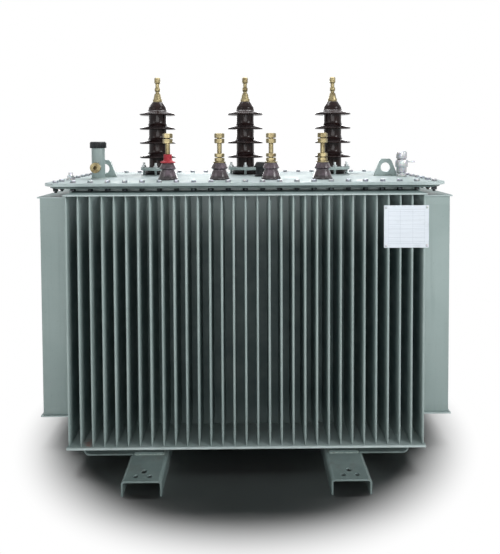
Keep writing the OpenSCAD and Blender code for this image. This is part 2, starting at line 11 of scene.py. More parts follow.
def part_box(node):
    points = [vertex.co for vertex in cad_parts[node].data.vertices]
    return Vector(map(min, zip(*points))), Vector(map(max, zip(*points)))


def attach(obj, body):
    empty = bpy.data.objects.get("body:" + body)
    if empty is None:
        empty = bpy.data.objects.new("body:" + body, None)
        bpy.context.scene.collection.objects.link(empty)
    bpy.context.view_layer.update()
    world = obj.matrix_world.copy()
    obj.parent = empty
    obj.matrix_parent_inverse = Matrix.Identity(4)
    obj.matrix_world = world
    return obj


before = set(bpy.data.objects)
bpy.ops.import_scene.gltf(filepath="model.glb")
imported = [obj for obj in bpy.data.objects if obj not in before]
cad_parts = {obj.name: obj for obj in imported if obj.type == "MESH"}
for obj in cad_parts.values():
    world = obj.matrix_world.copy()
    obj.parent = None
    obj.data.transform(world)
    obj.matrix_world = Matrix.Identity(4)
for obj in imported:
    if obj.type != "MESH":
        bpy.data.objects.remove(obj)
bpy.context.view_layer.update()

# The photograph's frame and the camera that was fitted to it, in pixels, metres and degrees
IMAGE_W = 500
IMAGE_H = 554
CAMERA_AT = (0.00288, -2.12702, 1.13285)
CAMERA_YAW = -0.44
CAMERA_PITCH = 1.93
CAMERA_ROLL = 0.27
CAMERA_FOCAL_PX = 518.99
CAMERA_SHIFT_PX = 120.0
SENSOR_MM = 36.0

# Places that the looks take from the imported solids, in metres
LID_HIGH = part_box("lid")[1]
TANK_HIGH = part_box("tank_body")[1]
FLANGE_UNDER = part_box("top_flange")[0][2]
DECK_Z = LID_HIGH[2]
FRONT_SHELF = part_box("front_fin_plates")
SIDE_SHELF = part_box("right_fin_plates")
FRONT_TIP = -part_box("front_fin_wall")[0][1]
SIDE_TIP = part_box("right_fin_wall")[1][0]
SHELF_UNDER = FRONT_SHELF[0][2]
SHELF_TOP = FRONT_SHELF[1][2]

# How far the plates reach past a row's outer fins, half of a fin's thickness, and the fins' pitch
PLATE_OVER = 0.004
FIN_HALF_T = 0.004
FIN_PITCH = 0.0403

# Just above the ring that clamps a high-voltage bushing to the lid
CLAMP_TOP = DECK_Z + 0.0325

# Top faces above this height lie under the lid and get painted shade
LID_SHADE_Z = 0.9


def srgb(red, green, blue):
    """Turn a display colour, 0 to 255, into the linear colour that the shader takes."""
    linear = []
    for value in (red, green, blue):
        share = value / 255
        linear.append(share / 12.92 if share <= 0.04045 else ((share + 0.055) / 1.055) ** 2.4)
    return (linear[0], linear[1], linear[2], 1.0)


def grey(level):
    """A neutral colour of the given linear level."""
    return (level, level, level, 1.0)


class Shader:
    """One node material, with short calls for the nodes that the looks need."""

    def __init__(self, name, metallic=0.0, coat=0.0, specular=0.5):
        self.material = bpy.data.materials.new(name)
        self.material.use_nodes = True
        self.nodes = self.material.node_tree.nodes
        self.links = self.material.node_tree.links
        self.nodes.clear()
        self.output = self.nodes.new("ShaderNodeOutputMaterial")
        self.bsdf = self.nodes.new("ShaderNodeBsdfPrincipled")
        self.links.new(self.bsdf.outputs["BSDF"], self.output.inputs["Surface"])
        self.bsdf.inputs["Metallic"].default_value = metallic
        self.bsdf.inputs["Coat Weight"].default_value = coat
        self.bsdf.inputs["Coat Roughness"].default_value = 0.08
        self.bsdf.inputs["Specular IOR Level"].default_value = specular
        coordinates = self.nodes.new("ShaderNodeTexCoord")
        self.place = coordinates.outputs["Object"]
        split = self.nodes.new("ShaderNodeSeparateXYZ")
        self.links.new(self.place, split.inputs["Vector"])
        self.x = split.outputs["X"]
        self.y = split.outputs["Y"]
        self.z = split.outputs["Z"]
        geometry = self.nodes.new("ShaderNodeNewGeometry")
        facing = self.nodes.new("ShaderNodeSeparateXYZ")
        self.links.new(geometry.outputs["Normal"], facing.inputs["Vector"])
        self.up = facing.outputs["Z"]

    def feed(self, socket, value):
        """Link a socket to another, or set it to a plain value."""
        if isinstance(value, bpy.types.NodeSocket):
            self.links.new(value, socket)
        else:
            socket.default_value = value

    def math(self, operation, first, second=0.0):
        node = self.nodes.new("ShaderNodeMath")
        node.operation = operation
        self.feed(node.inputs[0], first)
        self.feed(node.inputs[1], second)
        return node.outputs["Value"]

    def product(self, first, *others):
        """All the values multiplied together."""
        result = first
        for value in others:
            result = self.math("MULTIPLY", result, value)
        return result

    def absolute(self, value):
        return self.math("ABSOLUTE", value)

    def stretch(self, scale):
        """The place vector, scaled by a different amount along each axis."""
        node = self.nodes.new("ShaderNodeMapping")
        node.inputs["Scale"].default_value = scale
        self.links.new(self.place, node.inputs["Vector"])
        return node.outputs["Vector"]

    def length(self, vector):
        node = self.nodes.new("ShaderNodeVectorMath")
        node.operation = "LENGTH"
        self.links.new(vector, node.inputs[0])
        return node.outputs["Value"]

    def distance(self, spot):
        """How far the place lies from a fixed spot."""
        node = self.nodes.new("ShaderNodeVectorMath")
        node.operation = "DISTANCE"
        self.links.new(self.place, node.inputs[0])
        node.inputs[1].default_value = spot
        return node.outputs["Value"]

    def noise(self, scale, detail=4.0, rough=0.55, vector=None):
        node = self.nodes.new("ShaderNodeTexNoise")
        node.inputs["Scale"].default_value = scale
        node.inputs["Detail"].default_value = detail
        node.inputs["Roughness"].default_value = rough
        self.links.new(vector or self.place, node.inputs["Vector"])
        return node.outputs["Fac"]

    def streaks(self, scale, rough=0.6, detail=3.0):
        """Noise that is drawn out along the axes with a small scale."""
        return self.noise(1.0, detail, rough, self.stretch(scale))

    def cells(self, scale):
        node = self.nodes.new("ShaderNodeTexVoronoi")
        node.inputs["Scale"].default_value = scale
        self.links.new(self.place, node.inputs["Vector"])
        return node.outputs["Color"]

    def span(self, value, start, end, low=0.0, high=1.0):
        """Map a value smoothly from start..end onto low..high."""
        node = self.nodes.new("ShaderNodeMapRange")
        node.interpolation_type = "SMOOTHSTEP"
        self.feed(node.inputs["Value"], value)
        node.inputs["From Min"].default_value = start
        node.inputs["From Max"].default_value = end
        node.inputs["To Min"].default_value = low
        node.inputs["To Max"].default_value = high
        return node.outputs["Result"]

    def mix(self, share, first, second, blend="MIX"):
        node = self.nodes.new("ShaderNodeMix")
        node.data_type = "RGBA"
        node.blend_type = blend
        self.feed(node.inputs["Factor"], share)
        self.feed(node.inputs["A"], first)
        self.feed(node.inputs["B"], second)
        return node.outputs["Result"]

    def top_face(self):
        """1 on level top faces and 0 on steep ones."""
        return self.span(self.up, 0.6, 0.95)

    def uneven(self, scale, low, high, detail=4.0):
        """A value that drifts between low and high over the piece."""
        return self.span(self.noise(scale, detail), 0.3, 0.7, low, high)

    def hollow_shade(self, distance, start=0.15):
        """Painted shade mask: 0 on open faces and up to 0.8 in the hollows of the piece's own shape."""
        node = self.nodes.new("ShaderNodeAmbientOcclusion")
        node.samples = 8
        node.only_local = True
        node.inputs["Distance"].default_value = distance
        hidden = self.math("SUBTRACT", 1.0, node.outputs["AO"])
        return self.span(hidden, start, 0.6, 0.0, 0.8)

    def colour(self, value):
        self.feed(self.bsdf.inputs["Base Color"], value)

    def roughness(self, value):
        self.feed(self.bsdf.inputs["Roughness"], value)

    def bump(self, height, distance, strength=1.0):
        node = self.nodes.new("ShaderNodeBump")
        node.inputs["Strength"].default_value = strength
        node.inputs["Distance"].default_value = distance
        self.links.new(height, node.inputs["Height"])
        self.links.new(node.outputs["Normal"], self.bsdf.inputs["Normal"])


PAINT = srgb(148, 165, 163)
PAINT_LIGHT = srgb(160, 176, 174)
PAINT_STREAK = srgb(126, 142, 140)
# Pale paint for rubbed wear, and for painted light
PAINT_RUBBED_AND_LIT = srgb(196, 210, 210)
# Dark dirt colour, also used for painted shade
GRIME_AND_SHADE = srgb(52, 76, 75)
# Painted shade deep between the fins
GAP_SHADE = srgb(44, 72, 73)
DUST = srgb(177, 186, 191)
RUST = srgb(116, 84, 70)
RUST_STAIN = srgb(158, 120, 112)

# Heights in metres between which floor dirt with painted shade, and rust, grow to their full share
SPLASH_SHADE_TOP = 0.65
SPLASH_SHADE_FULL = 0.08
RUST_TOP = 0.16
RUST_FULL = 0.03

# Painted shade between fins: where it starts and is full behind the tips, and how far it thins from the
# plates, giving way to painted light under the top plate
GAP_START = 0.002
GAP_FULL = 0.048
GAP_PALE_H = 0.22
GAP_THIN_H = 0.12

# Strip along a row's outer faces in which the painted shade between its fins fades out
ROW_EDGE_OUT = 0.002
ROW_EDGE_IN = 0.006

# A row of fins: the axis that they point along, their tips, the row's half width, and its plates' heights
FinRow = namedtuple("FinRow", "axis tip half_width bottom top")


def aged_paint(s, splash_and_shade, low_rust):
    """Clouded paint with run streaks, specks, floor dirt and painted shade low down, and rust close to it.
    """
    cloud = s.noise(2.6, 5.0)
    colour = s.mix(s.span(cloud, 0.35, 0.68), PAINT, PAINT_LIGHT)
    streak = s.streaks((36.0, 36.0, 1.3))
    colour = s.mix(s.span(streak, 0.52, 0.8, 0.0, 0.45), colour, PAINT_STREAK)
    speck = s.noise(140.0, 2.0)
    colour = s.mix(s.span(speck, 0.66, 0.74, 0.0, 0.35), colour, PAINT_STREAK)
    splash_shade = s.span(s.z, SPLASH_SHADE_TOP, SPLASH_SHADE_FULL, 0.0, splash_and_shade)
    colour = s.mix(s.product(splash_shade, s.span(cloud, 0.2, 0.8, 0.6, 1.0)), colour, GRIME_AND_SHADE)
    low = s.span(s.z, RUST_TOP, RUST_FULL)
    patchy = s.span(s.noise(19.0, 6.0), 0.5, 0.66)
    return s.mix(s.product(low, patchy, low_rust), colour, RUST)


def shaded_tops_under_lid(s, colour, height):
    """Painted shade on the top faces above a height, under the lid's overhang."""
    above = s.math("GREATER_THAN", s.z, height)
    return s.mix(s.product(s.top_face(), above, 0.8), colour, GRIME_AND_SHADE)


def lit_and_rubbed_sides(s, colour, share):
    """Paler paint on a plate's upright faces: partly rubbed wear, partly painted light."""
    upright = s.span(s.absolute(s.up), 0.85, 0.4)
    patchy = s.span(s.noise(17.0, 5.0), 0.25, 0.65, 0.55 * share, share)
    return s.mix(s.product(upright, patchy), colour, PAINT_RUBBED_AND_LIT)


def bare_zinc_above(s, colour, height):
    """Bare zinc above a height: the nuts and stud ends on a clamp."""
    plated = s.math("GREATER_THAN", s.z, height)
    zinc_tone = s.mix(s.noise(80.0, 4.0), srgb(176, 184, 186), srgb(214, 219, 220))
    s.feed(s.bsdf.inputs["Metallic"], s.product(plated, 0.5))
    return s.mix(plated, colour, zinc_tone)


def painted_shade_film(s, colour, share):
    """An uneven film of painted shade over the whole piece."""
    patchy = s.span(s.noise(13.0, 5.0), 0.25, 0.7, 0.6 * share, share)
    return s.mix(patchy, colour, GRIME_AND_SHADE)


def rust_stains(s, colour, stains):
    """Patchy stains, given as (centre, reach) pairs."""
    for centre, reach in stains:
        near = s.span(s.distance(centre), reach, reach * 0.2)
        patchy = s.span(s.noise(60.0, 5.0), 0.36, 0.56, 0.0, 0.8)
        colour = s.mix(s.product(near, patchy), colour, RUST_STAIN)
    return colour


def gap_shade_and_light(s, colour, row):
    """Painted shade that deepens behind the fins' tips, thinner near both plates, over painted light
    (paler paint) near the top.
    """
    along, across = (s.x, s.y) if row.axis == "x" else (s.y, s.x)
    depth = s.span(s.absolute(along), row.tip - GAP_START, row.tip - GAP_FULL)
    within = s.span(s.absolute(across), row.half_width - ROW_EDGE_OUT, row.half_width - ROW_EDGE_IN)
    inside = s.product(depth, within)
    upper = s.span(s.z, row.top - GAP_PALE_H, row.top)
    lower = s.span(s.z, row.bottom + GAP_THIN_H, row.bottom, 0.0, 0.5)
    # Painted light near the tops of the gaps
    colour = s.mix(s.product(inside, upper, 0.7), colour, PAINT_RUBBED_AND_LIT)
    # Painted shade deep in the gaps
    uneven = s.span(s.noise(11.0, 4.0), 0.2, 0.8, 0.7, 0.92)
    gap_shade_share = s.math("SUBTRACT", 1.0, s.math("ADD", upper, lower))
    return s.mix(s.product(inside, uneven, gap_shade_share), colour, GAP_SHADE)


def paint_material(name, dust=0.35, splash_and_shade=0.1, low_rust=0.12, lid_shade_above=None, side_light_and_wear=0.0,
                   plated_above=None, film=0.0, stains=(), fin_row=None, specular=0.5):
    """Satin paint with dust on its top faces, and the further wear, painted light and painted shade that
    the arguments ask for.

    dust, splash_and_shade, low_rust, side_light_and_wear and film are shares; film is painted shade.
    lid_shade_above and plated_above are heights.
    stains holds (centre, reach) pairs, and fin_row is the FinRow whose gaps get painted shade and painted
    light.
    """
    s = Shader(name, specular=specular)
    colour = aged_paint(s, splash_and_shade, low_rust)
    settled = s.product(s.top_face(), s.span(s.noise(7.0, 6.0), 0.25, 0.75), dust)
    colour = s.mix(settled, colour, DUST)
    if lid_shade_above:
        colour = shaded_tops_under_lid(s, colour, lid_shade_above)
    if side_light_and_wear:
        colour = lit_and_rubbed_sides(s, colour, side_light_and_wear)
    if plated_above:
        colour = bare_zinc_above(s, colour, plated_above)
    if film:
        colour = painted_shade_film(s, colour, film)
    colour = rust_stains(s, colour, stains)
    if fin_row:
        colour = gap_shade_and_light(s, colour, fin_row)
    s.colour(colour)
    satin = s.uneven(31.0, 0.36, 0.5, detail=3.0)
    s.roughness(s.math("ADD", satin, s.product(settled, 0.5)))
    peel = s.noise(420.0, 2.0)
    dents = s.noise(9.0, 2.0)
    s.bump(s.math("ADD", s.product(peel, 0.12), dents), 0.0007)
    return s.material


# The ring of painted shade at the foot of a porcelain, where it meets the lid, ends between these heights
# above the lid
FOOT_RING_TOP = 0.019
FOOT_RING_FULL = 0.011


def glaze_material(name, dark, light, dust, coat, specular):
    """Fired glaze: cloudy and run, with painted shade in its hollows and at its foot, and dust on top
    faces.
    """
    s = Shader(name, coat=coat, specular=specular)
    pool = s.noise(24.0, 4.0)
    colour = s.mix(s.span(pool, 0.3, 0.72), dark, light)
    runs = s.streaks((95.0, 95.0, 9.0))
    colour = s.mix(s.span(runs, 0.42, 0.66, 0.0, 0.6), colour, dark)
    pit = s.noise(330.0, 2.0)
    colour = s.mix(s.span(pit, 0.68, 0.76, 0.0, 0.4), colour, light)
    film = s.product(s.span(s.up, 0.35, 0.95), s.span(s.noise(16.0, 5.0), 0.3, 0.75), dust)
    colour = s.mix(film, colour, srgb(150, 146, 150))
    # Painted shade at the foot and in the hollows
    foot_shade = s.span(s.z, DECK_Z + FOOT_RING_TOP, DECK_Z + FOOT_RING_FULL, 0.0, 0.8)
    dim = s.math("MAXIMUM", s.hollow_shade(0.03, start=0.12), foot_shade)
    colour = s.mix(dim, colour, srgb(18, 12, 13))
    s.colour(colour)
    s.roughness(s.math("ADD", s.span(pool, 0.2, 0.8, 0.14, 0.24), s.product(film, 0.6)))
    s.bump(s.noise(70.0, 2.0), 0.0004, 0.6)
    return s.material


def brass_material():
    """Dull plated brass, with turning marks, darker tarnish and painted shade in its hollows."""
    s = Shader("plated_brass", metallic=0.85)
    tarnish = s.span(s.noise(42.0, 6.0), 0.45, 0.72)
    colour = s.mix(tarnish, srgb(140, 129, 96), srgb(86, 72, 46))
    grain = s.streaks((50.0, 50.0, 2600.0), 0.5, 2.0)
    colour = s.mix(s.span(grain, 0.4, 0.7, 0.0, 0.3), colour, srgb(172, 162, 128))
    # Painted shade in the hollows
    colour = s.mix(s.hollow_shade(0.014), colour, srgb(62, 50, 28))
    s.colour(colour)
    s.roughness(s.uneven(55.0, 0.3, 0.48))
    s.bump(grain, 0.0002, 0.5)
    return s.material


def zinc_material(name, base, bloom=0.6):
    """Zinc-plated steel with a fine spangle, brown stains, a bloom of white oxide and painted shade in its
    hollows.
    """
    s = Shader(name, metallic=0.8)
    spangle = s.cells(240.0)
    colour = s.mix(0.12, base, spangle, "OVERLAY")
    oxide = s.span(s.noise(70.0, 6.0), 0.56, 0.74, 0.0, bloom)
    colour = s.mix(oxide, colour, srgb(206, 208, 204))
    stain = s.span(s.noise(28.0, 5.0), 0.64, 0.78, 0.0, 0.45)
    colour = s.mix(stain, colour, srgb(128, 96, 74))
    # Painted shade in the hollows
    colour = s.mix(s.hollow_shade(0.02), colour, srgb(74, 72, 72))
    s.colour(colour)
    s.roughness(s.uneven(90.0, 0.34, 0.55, detail=3.0))
    s.bump(s.noise(260.0, 3.0), 0.0002, 0.5)
    return s.material


def plastic_material(name, dark, light, grain):
    """Moulded plastic with a fine grain and faded patches."""
    s = Shader(name, specular=0.3)
    fade = s.span(s.noise(21.0, 5.0), 0.4, 0.75)
    colour = s.mix(fade, dark, light)
    scuff = s.streaks((260.0, 260.0, 60.0))
    colour = s.mix(s.span(scuff, 0.66, 0.78, 0.0, 0.3), colour, light)
    s.colour(colour)
    s.roughness(s.uneven(130.0, 0.4, 0.58, detail=3.0))
    s.bump(s.noise(grain, 2.0), 0.0003, 0.6)
    return s.material


def rubber_material():
    """Pressed cork-rubber sheet for the lid's gasket."""
    s = Shader("gasket_rubber", specular=0.3)
    crumb = s.cells(420.0)
    colour = s.mix(0.25, srgb(40, 41, 42), crumb, "SOFT_LIGHT")
    colour = s.mix(s.span(s.noise(33.0, 5.0), 0.5, 0.75, 0.0, 0.4), colour, srgb(84, 82, 78))
    s.colour(colour)
    s.roughness(s.uneven(60.0, 0.7, 0.9))
    s.bump(s.noise(520.0, 2.0), 0.0003)
    return s.material


# The etched table on the rating plate, in metres, and its column's place as a share of the half width
TABLE_MARGIN = 0.014
TABLE_ROW = 0.0145
TABLE_LINE = 0.0007
TABLE_COLUMN = 0.28


def empty_table(s):
    """1 on the lines of an empty table on the rating plate, and 0 between them."""
    low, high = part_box("rating_plate")
    half_w = (high[0] - low[0]) / 2
    half_h = (high[2] - low[2]) / 2
    off_x = s.absolute(s.math("SUBTRACT", s.x, (low[0] + high[0]) / 2))
    off_z = s.absolute(s.math("SUBTRACT", s.z, (low[2] + high[2]) / 2))

    def within(margin):
        inside_x = s.math("LESS_THAN", off_x, half_w - margin)
        inside_z = s.math("LESS_THAN", off_z, half_h - margin)
        return s.product(inside_x, inside_z)

    core = within(TABLE_MARGIN + TABLE_LINE)
    border = s.math("SUBTRACT", within(TABLE_MARGIN), core)
    step = s.math("MODULO", s.math("ADD", off_z, TABLE_ROW / 2), TABLE_ROW)
    rows = s.math("LESS_THAN", step, TABLE_LINE)
    off_column = s.absolute(s.math("SUBTRACT", off_x, half_w * TABLE_COLUMN))
    columns = s.math("LESS_THAN", off_column, TABLE_LINE / 2)
    ruled = s.product(s.math("MAXIMUM", rows, columns), core)
    return s.math("MAXIMUM", border, ruled)


def plate_material():
    """Satin aluminium with brushed grain and an etched, empty table of fields."""
    s = Shader("plate_aluminium", metallic=0.25)
    brushed = s.streaks((18.0, 60.0, 1500.0))
    colour = s.mix(s.span(brushed, 0.3, 0.7), srgb(206, 214, 222), srgb(220, 227, 234))
    colour = s.mix(s.product(empty_table(s), 0.4), colour, srgb(112, 124, 136))
    dull = s.span(s.noise(25.0, 5.0), 0.5, 0.78, 0.0, 0.35)
    colour = s.mix(dull, colour, srgb(176, 184, 188))
    s.colour(colour)
    s.roughness(s.uneven(80.0, 0.34, 0.5))
    s.bump(brushed, 0.0001, 0.5)
    return s.material


def weld_material():
    """Painted weld bead, a little darker in its ripples, with spots of rust."""
    s = Shader("painted_weld")
    ripple = s.noise(120.0, 4.0)
    colour = s.mix(s.span(ripple, 0.35, 0.7), srgb(132, 149, 144), srgb(164, 180, 175))
    colour = s.mix(s.span(s.noise(45.0, 5.0), 0.62, 0.78, 0.0, 0.5), colour, RUST)
    s.colour(colour)
    s.roughness(s.span(ripple, 0.3, 0.7, 0.42, 0.6))
    s.bump(ripple, 0.0008)
    return s.material


def seen_directly(nodes, links):
    """1 for rays that show a surface to the camera, straight or in a mirror or glass, and 0 for others."""
    rays = nodes.new("ShaderNodeLightPath")
    seen = rays.outputs["Is Camera Ray"]
    for kind in ("Is Glossy Ray", "Is Transmission Ray"):
        either = nodes.new("ShaderNodeMath")
        either.operation = "MAXIMUM"
        links.new(seen, either.inputs[0])
        links.new(rays.outputs[kind], either.inputs[1])
        seen = either.outputs["Value"]
    return seen


# The floor's painted shadow, a grey oval: its half widths in metres, and the share of the way to its rim
# where white begins
OVAL_X = 0.91
OVAL_Y = 0.82
OVAL_WHITE_FROM = 0.73
PAINTED_SHADOW_TONE = grey(0.42)


def floor_material():
    """Matt studio floor, seen as a grey oval of painted shadow under the object that turns plain white at
    its rim.

    Rays that only light the object meet a pale floor all over.
    """
    s = Shader("studio_floor", specular=0.0)
    reach = s.length(s.stretch((1 / OVAL_X, 1 / OVAL_Y, 1.0)))
    seen = seen_directly(s.nodes, s.links)
    white = s.nodes.new("ShaderNodeEmission")
    white.inputs["Strength"].default_value = 1.0
    blend = s.nodes.new("ShaderNodeMixShader")
    away = s.span(reach, OVAL_WHITE_FROM, 1.0)
    s.links.new(s.product(away, seen), blend.inputs["Fac"])
    s.links.new(s.bsdf.outputs["BSDF"], blend.inputs[1])
    s.links.new(white.outputs["Emission"], blend.inputs[2])
    s.links.new(blend.outputs["Shader"], s.output.inputs["Surface"])
    pale = s.mix(s.uneven(1.5, 0.0, 1.0), grey(0.88), grey(0.91))
    # Painted shadow: seen rays meet a darker grey floor inside the oval
    s.colour(s.mix(seen, pale, PAINTED_SHADOW_TONE))
    s.roughness(s.uneven(3.0, 0.75, 0.9))
    return s.material


FRONT_ROW = FinRow("y", FRONT_TIP, FRONT_SHELF[1][0] - PLATE_OVER, SHELF_UNDER, SHELF_TOP)
SIDE_ROW = FinRow("x", SIDE_TIP, SIDE_SHELF[1][1] - PLATE_OVER, SHELF_UNDER, SHELF_TOP)

# Two rust stains on the front's lower plate, in the second gap from the left, as (centre, reach)
RUST_Z = 0.088
rust_x = -FRONT_ROW.half_width + FIN_HALF_T + 1.5 * FIN_PITCH
front_stains = [
    ((rust_x, 0.03 - FRONT_TIP, RUST_Z), 0.026),
    ((rust_x + 0.004, 0.008 - FRONT_TIP, RUST_Z), 0.018),
]

front_fin_paint = paint_material("paint_front_fins", fin_row=FRONT_ROW)
# The side fins get more painted shade low down
side_fin_paint = paint_material("paint_side_fins", fin_row=SIDE_ROW, splash_and_shade=0.28)
# The fin plates' tops under the lid get painted shade, and their upright edges painted light
shelf_paint = paint_material("paint_fin_plates", dust=0.3, stains=front_stains, lid_shade_above=LID_SHADE_Z,
                             side_light_and_wear=0.8)
tank_paint = paint_material("paint_tank")
# The flange under the lid gets painted shade
flange_paint = paint_material("paint_flange", film=0.9)
# The lid's upright edge gets painted light, with some rubbed wear
lid_paint = paint_material("paint_lid", dust=0.75, low_rust=0.0, side_light_and_wear=1.0, specular=0.2)
fitting_paint = paint_material("paint_fittings", dust=0.3, low_rust=0.0)
clamp_paint = paint_material("paint_clamps", dust=0.8, low_rust=0.0, side_light_and_wear=0.3,
                             plated_above=CLAMP_TOP)
# The feet get painted shade from the tank above them, and rust near the floor
foot_paint = paint_material("paint_feet", dust=0.05, low_rust=0.25, film=0.45)
hv_glaze = glaze_material("hv_porcelain_glaze", srgb(25, 12, 11), srgb(42, 24, 22),
                          dust=0.2, coat=0.1, specular=0.16)
lv_glaze = glaze_material("lv_porcelain_glaze", srgb(50, 38, 43), srgb(116, 101, 112),
                          dust=0.3, coat=0.3, specular=0.45)
brass = brass_material()
zinc = zinc_material("zinc_plate", srgb(184, 186, 189), 0.35)
bolt_zinc = zinc_material("weathered_zinc", srgb(154, 157, 164))
# Near-black zinc for the nuts under the flange: painted shade
shaded_nut_zinc = zinc_material("shaded_dark_zinc", srgb(52, 57, 60), 0.15)
weld = weld_material()
black_plastic = plastic_material("black_plastic", srgb(15, 19, 22), srgb(34, 40, 43), 900.0)
red_plastic = plastic_material("red_plastic", srgb(168, 34, 50), srgb(192, 70, 78), 700.0)

NODE_MATERIALS = {
    "left_foot": foot_paint, "right_foot": foot_paint,
    "left_foot_pad": foot_paint, "right_foot_pad": foot_paint,
    "left_base_bracket": foot_paint, "right_base_bracket": foot_paint,
    "tank_body": tank_paint,
    "front_fin_wall": front_fin_paint, "back_fin_wall": front_fin_paint,
    "left_fin_wall": side_fin_paint, "right_fin_wall": side_fin_paint,
    "front_fin_plates": shelf_paint, "back_fin_plates": shelf_paint,
    "left_fin_plates": shelf_paint, "right_fin_plates": shelf_paint,
    "top_flange": flange_paint, "lid_gasket": rubber_material(), "lid": lid_paint,
    "left_lifting_lug": fitting_paint, "right_lifting_lug": fitting_paint,
    "red_terminal_boot": red_plastic,
    "filler_pipe": fitting_paint, "filler_cap": black_plastic, "filler_plug": brass,
    "relief_valve": zinc, "tap_changer": black_plastic, "earth_bolt": zinc,
    "rating_plate": plate_material(),
}
HV_NUMBERS = (1, 2, 3)
LV_NUMBERS = (1, 2, 3, 4)
for number in HV_NUMBERS:
    NODE_MATERIALS[f"hv_porcelain_{number}"] = hv_glaze
    NODE_MATERIALS[f"hv_clamp_{number}"] = clamp_paint
    NODE_MATERIALS[f"hv_terminal_{number}"] = brass
for number in LV_NUMBERS:
    NODE_MATERIALS[f"lv_porcelain_{number}"] = lv_glaze
    NODE_MATERIALS[f"lv_terminal_{number}"] = brass

# Modifiers on the CAD solids, in metres and degrees
JOIN_DISTANCE = 0.00002
FLAT_ANGLE = 0.3
EDGE_ANGLE = 38
EDGE_ROUND = 0.0009
LID_EDGE_ROUND = 0.003
for node_name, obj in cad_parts.items():
    obj.data.materials.clear()
    obj.data.materials.append(NODE_MATERIALS[node_name])
    join_corners = obj.modifiers.new("join_corners", "WELD")
    join_corners.merge_threshold = JOIN_DISTANCE
    flat_faces = obj.modifiers.new("join_flat_faces", "DECIMATE")
    flat_faces.decimate_type = "DISSOLVE"
    flat_faces.angle_limit = math.radians(FLAT_ANGLE)
    rounding = obj.modifiers.new("edge_round", "BEVEL")
    rounding.width = LID_EDGE_ROUND if node_name == "lid" else EDGE_ROUND
    rounding.segments = 2
    rounding.limit_method = "ANGLE"
    rounding.angle_limit = math.radians(EDGE_ANGLE)
    rounding.use_clamp_overlap = True
    rounding.harden_normals = True


def make_piece(name, mesh_builder, material):
    """Turn a bmesh into a piece that rides on the transformer."""
    mesh = bpy.data.meshes.new(name)
    mesh_builder.to_mesh(mesh)
    mesh_builder.free()
    mesh.materials.append(material)
    piece = bpy.data.objects.new(name, mesh)
    bpy.context.scene.collection.objects.link(piece)
    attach(piece, "root")


def middle(node):
    """Centre of a node's box, seen from above."""
    low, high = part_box(node)
    return (low[0] + high[0]) / 2, (low[1] + high[1]) / 2


def join_rings(bm, first, second, smooth):
    """Join two rings of points, of the same count, by a band of faces."""
    count = len(first)
    for k in range(count):
        after = (k + 1) % count
        face = bm.faces.new((first[k], first[after], second[after], second[k]))
        face.smooth = smooth


def close_ends(bm, rings):
    """Close the first and the last ring with a face each."""
    bm.faces.new(list(reversed(rings[0])))
    bm.faces.new(rings[-1])


def add_turned(bm, base, profile, sides, axis=Vector((0, 0, 1)), start=0.0, smooth=True):
    """Add a turned solid: profile is a list of (radius, height) from the bottom to the top."""
    turn = axis.to_track_quat("Z", "Y").to_matrix()
    rings = []
    for radius, height in profile:
        ring = []
        for k in range(sides):
            angle = start + 2 * math.pi * k / sides
            local = Vector((radius * math.cos(angle), radius * math.sin(angle), height))
            ring.append(bm.verts.new(Vector(base) + turn @ local))
        rings.append(ring)
    for low, high in zip(rings, rings[1:]):
        join_rings(bm, low, high, smooth)
    close_ends(bm, rings)


# A hexagon's chamfers: their share of the height, and the share of the radius left at each end
HEX_BEVEL = 0.14
HEX_BOTTOM = 0.88
HEX_TOP = 0.86


def add_hexagon(bm, base, flats, height, start):
    """Add a hexagon head or nut with chamfered ends."""
    corner = flats / math.sqrt(3)
    bevel = height * HEX_BEVEL
    profile = [
        (corner * HEX_BOTTOM, 0),
        (corner, bevel),
        (corner, height - bevel),
        (corner * HEX_TOP, height),
    ]
    add_turned(bm, base, profile, 6, start=start, smooth=False)


# Lid bolts, in metres, and the turn of a nut from its bolt's head, in radians
BOLT_FLATS = 0.017
BOLT_HEAD_H = 0.0064
BOLT_STUD_R = 0.005
BOLT_STUD_SIDES = 14
BOLT_TIP_H = 0.0015
WASHER_R = 0.0105
WASHER_T = 0.002
WASHER_EDGE = 0.0006
WASHER_SIDES = 20
NUT_H = 0.0084
NUT_TURN = 0.4
STUD_SHOWS = 0.006
BOLT_SEED = 7

# Spaces between the bolts along a long and a short side of the lid
LONG_SPACES = 22
SHORT_SPACES = 9

# No lid bolt stands this close to the earth bolt
EARTH_CLEAR = 0.032


def add_bolt_head(bm, x, y, turn):
    """Add the head and washer of one bolt through the lid."""
    washer = [(WASHER_R - WASHER_EDGE, 0), (WASHER_R, WASHER_EDGE), (WASHER_R, WASHER_T)]
    add_turned(bm, (x, y, DECK_Z), washer, WASHER_SIDES)
    add_hexagon(bm, (x, y, DECK_Z + WASHER_T), BOLT_FLATS, BOLT_HEAD_H, turn)


def add_bolt_nut(bm, x, y, turn):
    """Add the washer, nut and free end of one bolt, under the flange."""
    washer_z = FLANGE_UNDER - WASHER_T
    add_turned(bm, (x, y, washer_z), [(WASHER_R, 0), (WASHER_R, WASHER_T)], WASHER_SIDES)
    nut_z = washer_z - NUT_H
    add_hexagon(bm, (x, y, nut_z), BOLT_FLATS, NUT_H, turn + NUT_TURN)
    tip = [(BOLT_STUD_R * 0.75, 0), (BOLT_STUD_R, BOLT_TIP_H), (BOLT_STUD_R, STUD_SHOWS)]
    add_turned(bm, (x, y, nut_z - STUD_SHOWS), tip, BOLT_STUD_SIDES)


